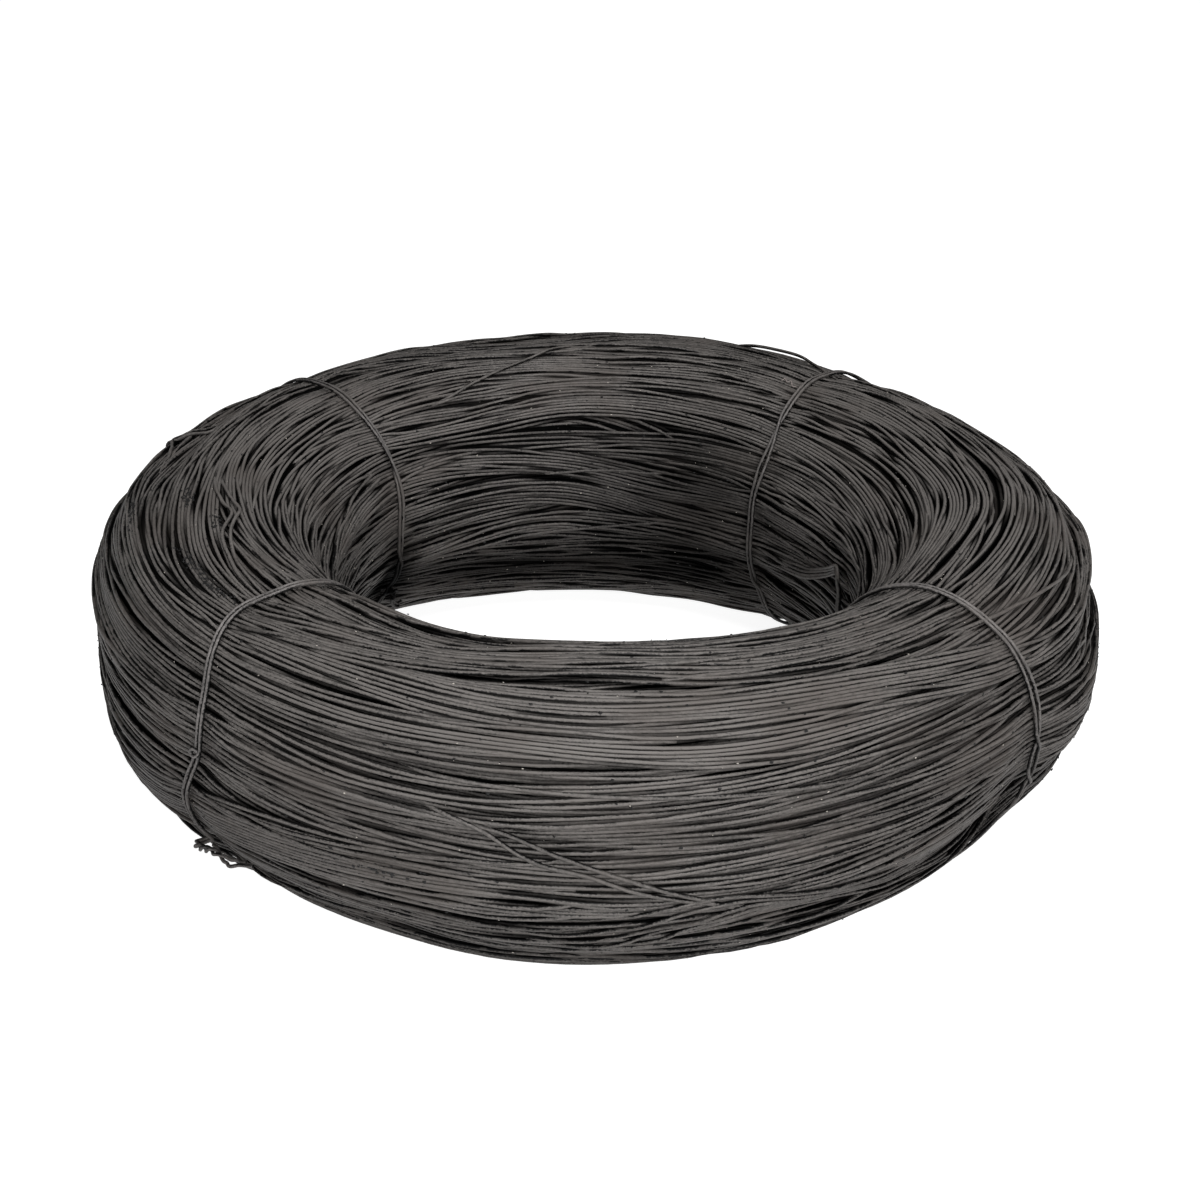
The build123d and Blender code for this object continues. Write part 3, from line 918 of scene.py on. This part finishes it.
# %% The shape of each tie
# For each tie: the place of its eye along the section, how rubbed it is and how much painted shade it gets,
# pitch and turns of its twist, its crossings (s, softness), where its strands spread and where they stand off
# the turns (s, mm, reach), small curls bent in one strand (s, side), and the line of its twisted ends (s, mm
# aside, mm above the turns)
TIE_SHAPES = {
    "tie_front_left": {
        "eye": 45, "wear_and_shade": 1, "pitch": 12, "turns": 2.3, "crossings": [(225, 1.8), (300, 1.8)],
        "spreads": [(84, 0.35, 14), (190, 0.2, 14)], "curls": [(96.5, -1)],
        "tails": [
            (49.5, -4, 4.2), (51.5, -1, 5), (53.8, 4.5, 5), (57, 11.5, 4.6), (58.2, 17, 4.6),
            (57.3, 21, 4.7), (58, 25.5, 4.4), (59.5, 30.5, 3.4), (60, 34.5, 2.4),
        ],
    },
    "tie_front_right": {
        "eye": 258, "wear_and_shade": 1, "pitch": 3.8, "turns": 3,
        "crossings": [(94, 1.8), (75.5, 1.8), (225, 1.8), (310, 1.8)],
        "spreads": [(85, 1.9, 6.5), (66, 0.6, 5), (115, 0.9, 20)], "stands_off": [(65, 2.4, 7)],
        "tails": [(254, 0.5, 1.8), (252, 3.5, 2.6), (253, 8, 2.8), (256, 13, 2.4), (259, 17, 1.8)],
    },
    "tie_back_left": {
        "eye": 300, "wear_and_shade": 0.66, "pitch": 3.8, "turns": 0.6,
        "crossings": [(40, 1.8), (120, 1.8), (232, 9), (276, 1.8)], "spreads": [(185, 0.3, 12)],
        "tails": [
            (297, 0.3, 2), (300.3, -3, 3.4), (305, -3.6, 3), (310, -6, 3), (314, -10, 3.8),
            (311.5, -12, 4.2),
        ],
    },
    "tie_back_right": {
        "eye": 122, "wear_and_shade": 0.85, "pitch": 3.8, "turns": 4, "crossings": [(60, 1.8), (209, 5), (290, 1.8)],
        "spreads": [(231, 0.55, 8), (158, 0.3, 6)], "stands_off": [(161, 1.2, 8), (297, -1.3, 14)],
        "tails": [(118, 0.5, 2.2), (113, 1, 3), (106, 0, 3.2), (100, -2, 2.8), (94, -2, 2.2)],
    },
}
print("ties:", ", ".join(f"{name} with its eye at {shape['eye']:g} mm" for name, shape in TIE_SHAPES.items()))

# %% [markdown]
# Two tools bend wire by hand: a soft curve through a few points, for the twisted ends and for stray turns,
# and a curl, the small loop that a wire keeps when it springs back.

# %% Soft curves and curls
TIE_WIRE_R = 0.7
CURL_R = 1.8


def smooth_line(knots, count):
    """A soft curve through given points: Catmull-Rom, p(t) = 1/2 (2b + (c - a) t + (2a - 5b + 4c - d) t^2
    + (3b - a - 3c + d) t^3)."""
    knots = np.array(knots, dtype=float)
    padded = np.concatenate([2 * knots[:1] - knots[1:2], knots, 2 * knots[-1:] - knots[-2:-1]])
    at = np.linspace(0, len(knots) - 1 - 1e-9, count)
    i = at.astype(int)
    t = (at - i)[:, None]
    a, b, c, d = padded[i], padded[i + 1], padded[i + 2], padded[i + 3]
    return 0.5 * (2 * b + (c - a) * t + (2 * a - 5 * b + 4 * c - d) * t**2 + (3 * b - a - 3 * c + d) * t**3)


def with_curl(points, outwards, at, side):
    """A strand with a small round curl bent in at one of its points p, over the other strand:
    p + R (sin t forward + 3/4 (1 - cos t) aside)."""
    forward = unit(points[at + 2] - points[at - 2])
    aside = -side * unit(np.cross(outwards[at], forward))
    t = np.linspace(0.0, 2 * math.pi, 14)[1:, None]
    loop = points[at] + CURL_R * (np.sin(t) * forward + 0.75 * (1 - np.cos(t)) * aside)
    loop = loop + outwards[at] * TIE_WIRE_R * (2.2 * np.sin(t / 2) + 0.8 * t / (2 * math.pi))
    same_out = np.repeat(outwards[at : at + 1], len(loop), axis=0)
    points = np.concatenate([points[: at + 1], loop, points[at + 3 :]])
    return points, np.concatenate([outwards[: at + 1], same_out, outwards[at + 3 :]])

# %% [markdown]
# Now the path of a tie: both strands round the section, the eye, and the two ends round one line. A curve
# with a bevel could draw it, but the strands have to find the turns that carry them, so the path is worked
# out as numbers like the turns and made a tube by the same function.

# %% The four ties
TIE_STEP = 0.5
HALF_SPACING = 0.92
TWIST_RADIUS = 0.85
EYE_R, EYE_BEND = 1.7, 2.4
# A tie, pulled tight, bridges hollows of this many steps on either side, and bends as softly as this many
BRIDGED, SOFTNESS = 16, 14
# The strands start and stop a little way from the eye. They sway: how far, and over what length
STRAND_START, STRAND_STOP = 5.0, 4.0
SWAY, SWAY_LENGTH = 0.35, 23.0
# Points on the fold of the eye and on the two twisted ends, of which one is shorter, and the length over
# which they part
FOLD_POINTS, TAIL_POINTS, SHORT_TAIL, PARTING = 15, 60, 52, 7.0


def tie_path(name, shape):
    """The path of one tie in space and its outward directions."""
    turned = bridged(track(name, even), 0, SOFTNESS, True)
    seat = bridged(seat_depth(turned, even) + drawn_in(turned, even), BRIDGED, SOFTNESS, True)
    for middle, off, reach in shape.get("stands_off", []):
        seat = seat - off * bell(from_s(even, middle), reach)

    def place(s, across, lift):
        """Points that far along the section, to the side of the tie's track, and above the turns."""
        depth = np.interp(s, even, seat, period=PERIMETER) - lift
        r, _, _ = on_section(s, depth)
        return to_space(np.interp(s, even, turned, period=PERIMETER) + across / r, s, depth)

    eye = shape["eye"]
    s = np.arange(eye + STRAND_START, eye + PERIMETER - STRAND_STOP, TIE_STEP)
    phase, half = np.zeros_like(s), np.full_like(s, HALF_SPACING)
    for crossing, softness in shape["crossings"]:
        from_crossing = (s - eye) - (crossing - eye) % PERIMETER
        phase += math.pi / (1 + np.exp(-np.clip(from_crossing / softness, -30, 30)))
    for middle, width, reach in shape["spreads"]:
        from_middle = (s - eye) - (middle - eye) % PERIMETER
        half += width * bell(from_middle, reach)
    wander = SWAY * np.sin(s / SWAY_LENGTH + TIE_AZIMUTHS[name])
    strands = []
    for sign in (1, -1):
        across = sign * half * np.cos(phase)
        strand = place(s, across + wander, 2 * TIE_WIRE_R * np.clip(sign * np.sin(phase), 0, None))
        for where, side in shape.get("curls", []):
            at = int(np.argmin(np.abs((s - eye) - (where - eye) % PERIMETER)))
            if across[at] * side < 0:
                strand = with_curl(*strand, at, side)
        strands.append(strand)
    # The eye: three quarters of a small ring, above the place where the ends come over
    bend = np.linspace(-EYE_BEND, EYE_BEND, FOLD_POINTS)
    last = 1 if math.cos(phase[-1]) > 0 else -1
    fold = place(eye + EYE_R * np.cos(bend) - 0.5, -last * EYE_R * np.sin(bend), np.ones(FOLD_POINTS))
    # The line of the twisted ends, and both ends round it
    line_points = smooth_line(shape["tails"], TAIL_POINTS)
    axis, axis_out = place(line_points[:, 0], line_points[:, 1], line_points[:, 2])
    length = lengths_along(axis)
    forward = unit(np.gradient(axis, axis=0))
    aside = unit(np.cross(forward, axis_out))
    up = np.cross(aside, forward)
    twist = np.minimum(length / shape["pitch"], shape["turns"]) * 2 * math.pi
    first = 1 if math.cos(phase[0]) > 0 else -1
    ends = []
    for sign in (1, -1):
        untwisted = np.clip((length - shape["turns"] * shape["pitch"]) / PARTING, 0, 1)
        open_out = TWIST_RADIUS * (1 + 1.5 * np.sin(math.pi * untwisted) ** 2)[:, None]
        round_line = np.cos(twist)[:, None] * aside + np.sin(twist)[:, None] * up
        keep = slice(0, TAIL_POINTS if sign == 1 else SHORT_TAIL)
        ends.append(((axis + sign * first * open_out * round_line)[keep], axis_out[keep]))
    (tail_a, out_a), (tail_b, out_b) = ends
    points = np.concatenate([tail_a[::-1], strands[0][0], fold[0], strands[1][0][::-1], tail_b])
    outwards = np.concatenate([out_a[::-1], strands[0][1], fold[1], strands[1][1][::-1], out_b])
    return even_steps(points, outwards, TIE_STEP)


for name, shape in TIE_SHAPES.items():
    path_points, path_out = tie_path(name, shape)
    # Painted light and shade: the tie's own value and that of the places on the strip, with its wear
    worn_and_shaded = shape["wear_and_shade"] * wear_light_and_shade_of(path_points)
    tie = tubes(name + "_wire", path_points[None], path_out[None], TIE_WIRE_R, 10, False, worn_and_shaded, TIE_STEEL)
    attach(tie, "root")
    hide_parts(name)

# %% [markdown]
# Some turns leave their bundle and run slantwise over the others before they dive back. The marked ones
# are those that the photo shows: a hump of crossing turns low on the front, bent turns on the crown and a
# corner in the bore. The rest are scattered over the ring.

# %% Where the marked turns stray
# Each stray by listed places: azimuth in degrees, s, and mm above the turns
STRAYS = [
    [(-16, 108, -2.5), (-11.2, 104, 0), (-5.2, 92, 0.1), (0.2, 87, 0.1), (4.8, 81, 0.1), (14, 73, 0),
     (22.8, 68, 0), (30, 66, -2.5)],
    [(-15, 106, -2.5), (-8, 101, 0), (-2.5, 94, 0.2), (4, 86, 0.2), (10.5, 77, 0), (15.5, 70, 0),
     (22, 64, -2.5)],
    [(40, 61, -2.5), (32.5, 63, 0), (24, 69, 0.5), (16.2, 73, 1), (10.8, 68, 0.6), (6, 61, 0),
     (1.2, 56, 0), (-6, 52, -2.5)],
    [(40, 59, -2.5), (32.5, 61, 0), (24, 67, 0.4), (17, 71, 0.8), (11, 65, 0.4), (6, 58, 0),
     (1.2, 53, 0), (-6, 50, -2.5)],
    [(42, 57, -2.5), (32.5, 58.5, 0), (24, 64, 0.2), (18, 67.5, 0.4), (12, 63, 0.2), (6, 55, 0),
     (0, 50, -2.5)],
    [(40, 63, -2.5), (31, 65, 0), (23, 71, 0.3), (14.5, 75.5, 0.5), (8.8, 71, 0.3), (3, 63, 0),
     (-3, 58, 0), (-9, 55, -2.5)],
    [(38, 66, -2.5), (29, 68, 0), (22, 73, 0.2), (12.5, 77, 0.2), (6.5, 73, 0), (1, 66, -2.5)],
    [(-86, 178, -2), (-79, 180, 0), (-73.8, 181, 0.5), (-70.5, 182.5, 1), (-68.5, 182.5, 1.2),
     (-65, 177.5, 1), (-61.5, 174, 0.5), (-55, 170, 0), (-50, 168, 0), (-44, 167, -2)],
    [(-86, 181, -2), (-79, 183, 0), (-73.8, 184, 0.5), (-71, 185.5, 1.2), (-69, 185.5, 1.4),
     (-65.5, 181, 1), (-61.5, 177, 0.5), (-55, 173, 0), (-48.2, 169, 0), (-42, 168, -2)],
    [(159, 164, -2.5), (155, 161, 0.2), (150, 160, 1.7), (146, 161, 1.7), (141.5, 166, 0.6),
     (136, 170, -2.5)],
    [(-146, 205, -2.5), (-152.5, 201, 0), (-162, 192, 0), (-172.2, 183, 0), (-179, 178, -2.5)],
    [(44, 156, -2.5), (51.2, 151, 0), (60, 145, 0.2), (71.2, 137, 0), (78, 134, -2.5)],
]
# A turn that makes a hook in the bore
HOOK = [
    (128, 270, -2), (118, 266, 0.5), (111.2, 261, 1.2), (101.2, 251, 2), (98.3, 248, 2.2),
    (97.4, 253, 2.2), (96.8, 262, 1.8), (96, 274, 0.5), (95, 284, -2),
]
# Two turns stand off the outer edge of the crown at the left
LOOSE = [
    [(-114, 158, -2), (-107, 154, -0.6), (-104.5, 149, 1.2), (-103, 144, 2), (-101, 146, 1.2),
     (-97, 150, -0.6), (-90, 152, -2)],
    [(-108, 161, -2), (-105.5, 156, -0.4), (-103.5, 150, 0.9), (-102.5, 145, 1.5), (-102.8, 139, 0.6),
     (-105, 133, -2)],
]
print("places for strays by hand:", len(STRAYS), "single ones, a hook and", len(LOOSE), "loose turns")

# %% [markdown]
# Each stray is a soft curve on the strip. It is laid on the turns below it like a tie, and its ends dive
# between them. All strays of a kind are joined into one piece.

# %% Stray turns
STRAY_STEP, SCATTERED = 2.2, 60


def stray(knots, scatter, step=STRAY_STEP):
    """A turn that lies on the others: given places (degrees, s, lift), softened."""
    knots = np.array(knots, dtype=float)
    knots[:, 1] += random.normal(size=len(knots)) * scatter
    found = smooth_line(knots, 220)
    azimuth, s, lift = np.radians(found[:, 0]), found[:, 1], found[:, 2]
    azimuth = from_angle(azimuth, 0.0)
    seat = bridged(seat_depth(azimuth, s), 5, 4, False)
    points, outwards = to_space(azimuth, s, seat + drawn_in(azimuth, s) - lift)
    return even_steps(points, outwards, step)


def scattered_stray():
    """A stray turn at a random place: it leaves its turns at one end, crosses slantwise and dives back."""
    start, span = random.uniform(-180, 180), random.uniform(22, 70)
    level, slope = random.uniform(40, 320), random.normal() * 6.0
    share = np.array([0.0, 0.12, 0.35, 0.65, 0.88, 1.0])
    sway = slope * (share - 0.5) + random.normal(size=6) * 0.3
    lift = np.array([-2.5, -0.7, -0.7, -0.7, -0.7, -2.5])
    return [(start + span * a, level + b, c) for a, b, c in zip(share, sway, lift)]


def joined_tubes(name, paths, radius, sides, material):
    """Tubes of different lengths as one piece, brought to an equal number of points each."""
    at = np.linspace(0, 1, max(len(points) for points, _ in paths))
    same = []
    for pair in paths:
        columns = np.concatenate(pair, axis=1).T
        own = np.linspace(0, 1, columns.shape[1])
        same.append(np.stack([np.interp(at, own, column) for column in columns], axis=1))
    same = np.stack(same)
    # Painted light and shade: strays take those of the places on the strip, with their wear
    worn_and_shaded = 0.95 * wear_light_and_shade_of(same[..., :3])
    return tubes(name, same[..., :3], unit(same[..., 3:]), radius, sides, False, worn_and_shaded, material)


marked = [stray(knots, 0.3) for knots in STRAYS]
# Four hooks lie beside each other, and three knees next to them
hooks = [[(a + 0.3 * i, s + 1.5 * i, lift) for a, s, lift in HOOK] for i in range(4)]
knees = [[(122, s + 8, -2), (112, s + 4, 0.6), (98, s, 1.0), (93, s, -2)] for s in (256, 258, 263)]
marked += [stray(knots, 0.2) for knots in hooks + knees]
scattered = [stray(scattered_stray(), 0.0) for _ in range(SCATTERED)]
marked += [stray(knots, 0.0) for knots in LOOSE]
for name, paths in (("stray_turns_marked", marked), ("stray_turns_scattered", scattered)):
    piece = joined_tubes(name, paths, WIRE_R, 6, TURN_STEEL)
    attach(piece, "root")

# %% [markdown]
# Mill scale flakes off when the wire is bent. Small chips of it lie all over the turns: most are dark
# crumbs, and a few lie face up and catch the light. Each chip is a flat, uneven four-sided pyramid, a few
# tenths of a millimetre thick, and all of them are one mesh worked out as arrays.

# %% Chips of scale
# Chips keep away from the foot, lie about their spot in degrees and millimetres, and bed in between turns
FOOT_MARGIN, SPOT_DEGREES, SPOT_MM, BEDDED = 24.0, 2.2, 1.3, 0.55
BATCHES = 20


def chips(name, count, sizes, material, spots=None):
    """Uneven pyramids on the turns, at random places or round given spots (degrees, s): four corners round
    a point and a tip, each moved by a random share of the size."""
    azimuth = random.uniform(-math.pi, math.pi, size=count)
    s = random.uniform(FOOT_MARGIN, PERIMETER - FOOT_MARGIN, size=count)
    if spots:
        near = np.array(spots)[random.integers(len(spots), size=count)]
        azimuth = np.radians(near[:, 0] + random.normal(size=count) * SPOT_DEGREES)
        s = near[:, 1] + random.normal(size=count) * SPOT_MM
    batches = zip(np.split(azimuth, BATCHES), np.split(s, BATCHES))
    depth = np.concatenate([seat_depth(*batch) for batch in batches])
    middles, out = to_space(azimuth, s, depth + drawn_in(azimuth, s) + BEDDED)
    size = random.uniform(*sizes, size=count)[:, None, None]
    forward = np.stack([np.cos(azimuth), np.sin(azimuth), np.zeros(count)], axis=1)
    aside = np.cross(out, forward)
    angle = random.uniform(0, 2 * math.pi, size=(count, 1)) + np.arange(4)[None] * math.pi / 2
    reach = random.uniform(0.55, 1.3, size=(count, 4, 1))
    ring = np.cos(angle)[..., None] * forward[:, None] * 1.5 + np.sin(angle)[..., None] * aside[:, None]
    ring = ring * reach + random.uniform(-0.35, 0.35, size=(count, 4, 1)) * out[:, None]
    tip = out[:, None] * random.uniform(0.3, 0.9, size=(count, 1, 1))
    below = -out[:, None] * 0.4
    corners = (middles[:, None] + size * np.concatenate([ring, tip, below], axis=1)).reshape(-1, 3) * MM
    one = np.array([[0, 1, 4], [1, 2, 4], [2, 3, 4], [3, 0, 4], [1, 0, 5], [2, 1, 5], [3, 2, 5], [0, 3, 5]])
    faces = (one[None] + 6 * np.arange(count)[:, None, None]).reshape(-1, 3)
    mesh = bpy.data.meshes.new(name)
    mesh.from_pydata(corners.tolist(), [], faces.tolist())
    print(f"{name}: {count} chips, {len(faces)} triangles")
    return as_piece(name, mesh, material)


def plain_scale(name, colour, roughness):
    """A loose flake of mill scale: one colour, from blue-black to the pale grey of its bright side."""
    return principled(name, {"Base Color": linear(colour), "Roughness": roughness})[0]


LIGHT_SCALE = plain_scale("pale_scale_flake", "#b9b2a9", 0.45)
GREY_SCALE = plain_scale("grey_scale_sliver", "#918783", 0.5)
DARK_SCALE = plain_scale("black_scale_crumb", "#0b0a0a", 0.8)
# Where the scale has crumbled most, along the left of the crown
CRUMBLED = [(-67.2, 177.0), (-77.8, 169.0), (-59.5, 159.0), (-50.8, 158.0), (-77.8, 146.0), (-20.0, 80.0)]
flakes = [
    chips("scale_flakes_pale", 700, (0.10, 0.30), LIGHT_SCALE),
    chips("scale_crumbs_black", 1800, (0.25, 0.6), DARK_SCALE),
    chips("scale_crumbs_on_crown", 220, (0.3, 0.75), DARK_SCALE, CRUMBLED),
]
# One long sliver of scale, bent like a W, lies on the far crown
SLIVER = [
    (144.9, 186.5, -0.2), (144.5, 184.4, 0), (143.9, 186.3, -0.2), (143.2, 184.8, 0.1),
    (142.5, 187.4, -0.1), (141.8, 186.4, -0.3),
]
sliver = stray(SLIVER, 0.0, 0.5)
flakes.append(joined_tubes("scale_sliver", [sliver], 0.17, 5, GREY_SCALE))
for piece in flakes:
    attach(piece, "root")

# %% [markdown]
# The stage: a pale floor that is white to the camera and still takes the soft shadow of the coil, a white
# surrounding for the camera, and two large soft lamps.

# %% Floor, world and lamps
FLOOR_GLOW, WORLD_LIGHT = 0.9, 0.09


def floor_material():
    """A grey that takes the coil's shadow, with a glow that only the camera and reflections see."""
    material = bpy.data.materials.new("pale_floor")
    material.use_nodes = True
    tree = material.node_tree
    tree.nodes.clear()
    diffuse = add(tree, "BsdfDiffuse", ((0.5, 0.5, 0.5, 1.0),))
    ray = add(tree, "LightPath")
    rays = ray.outputs["Is Camera Ray"], ray.outputs["Is Glossy Ray"]
    seen = add(tree, "Math", rays, operation="MAXIMUM")
    level = add(tree, "Math", (seen, FLOOR_GLOW), operation="MULTIPLY")
    glow = add(tree, "Emission", {"Strength": level})
    both = add(tree, "AddShader", (diffuse, glow))
    add(tree, "OutputMaterial", {"Surface": both})
    return material


mesh = bpy.data.meshes.new("floor")
mesh.from_pydata([(-6, -6, 0), (6, -6, 0), (6, 6, 0), (-6, 6, 0)], [], [(0, 1, 2, 3)])
floor = as_piece("floor", mesh, floor_material())

world = bpy.data.worlds.new("studio")
bpy.context.scene.world = world
world.use_nodes = True
tree = world.node_tree
ray = add(tree, "LightPath")
strength = add(tree, "MapRange", (ray.outputs["Is Camera Ray"], 0.0, 1.0, WORLD_LIGHT, 1.0))
background = tree.nodes["Background"]
background.inputs["Color"].default_value = (1, 1, 1, 1)
tree.links.new(strength.outputs[0], background.inputs["Strength"])


def soft_lamp(name, place, target, size, power):
    """A round lamp of that size in metres and power in watts, which looks at the target."""
    lamp = bpy.data.lights.new(name, "AREA")
    lamp.shape = "DISK"
    lamp.size = size
    lamp.energy = power
    holder = bpy.data.objects.new(name, lamp)
    bpy.context.scene.collection.objects.link(holder)
    holder.location = place
    holder.rotation_euler = (Vector(target) - Vector(place)).to_track_quat("-Z", "Y").to_euler()
    print(f"{name} lamp: {power} W, {size} m across")


COIL_MIDDLE = (0, 0, 0.05)
soft_lamp("front", (0.35, -1.8, 0.8), COIL_MIDDLE, 0.9, 30)
soft_lamp("above", (0.15, -0.5, 1.9), COIL_MIDDLE, 1.2, 25)

# %% [markdown]
# The camera stands where the photo's camera stood. Its place and lens were worked out from the outline of
# the ring and of its bore.

# %% Camera
CAMERA_AT = (0.00208, -0.71723, 0.41422)
LOOKS_DOWN = math.radians(26.158)
ROLL = math.radians(1.271)
LENS = 58.52
camera = bpy.data.cameras.new("camera")
camera.lens = LENS
camera.sensor_width = 36.0
holder = bpy.data.objects.new("camera", camera)
bpy.context.scene.collection.objects.link(holder)
turn = Matrix.Rotation(math.pi / 2 - LOOKS_DOWN, 4, "X") @ Matrix.Rotation(ROLL, 4, "Z")
holder.matrix_world = Matrix.Translation(CAMERA_AT) @ turn
bpy.context.scene.camera = holder
bpy.context.scene.view_settings.view_transform = "Standard"
print(f"camera at {CAMERA_AT} m, {math.degrees(LOOKS_DOWN):.1f} degrees down, lens {LENS} mm")
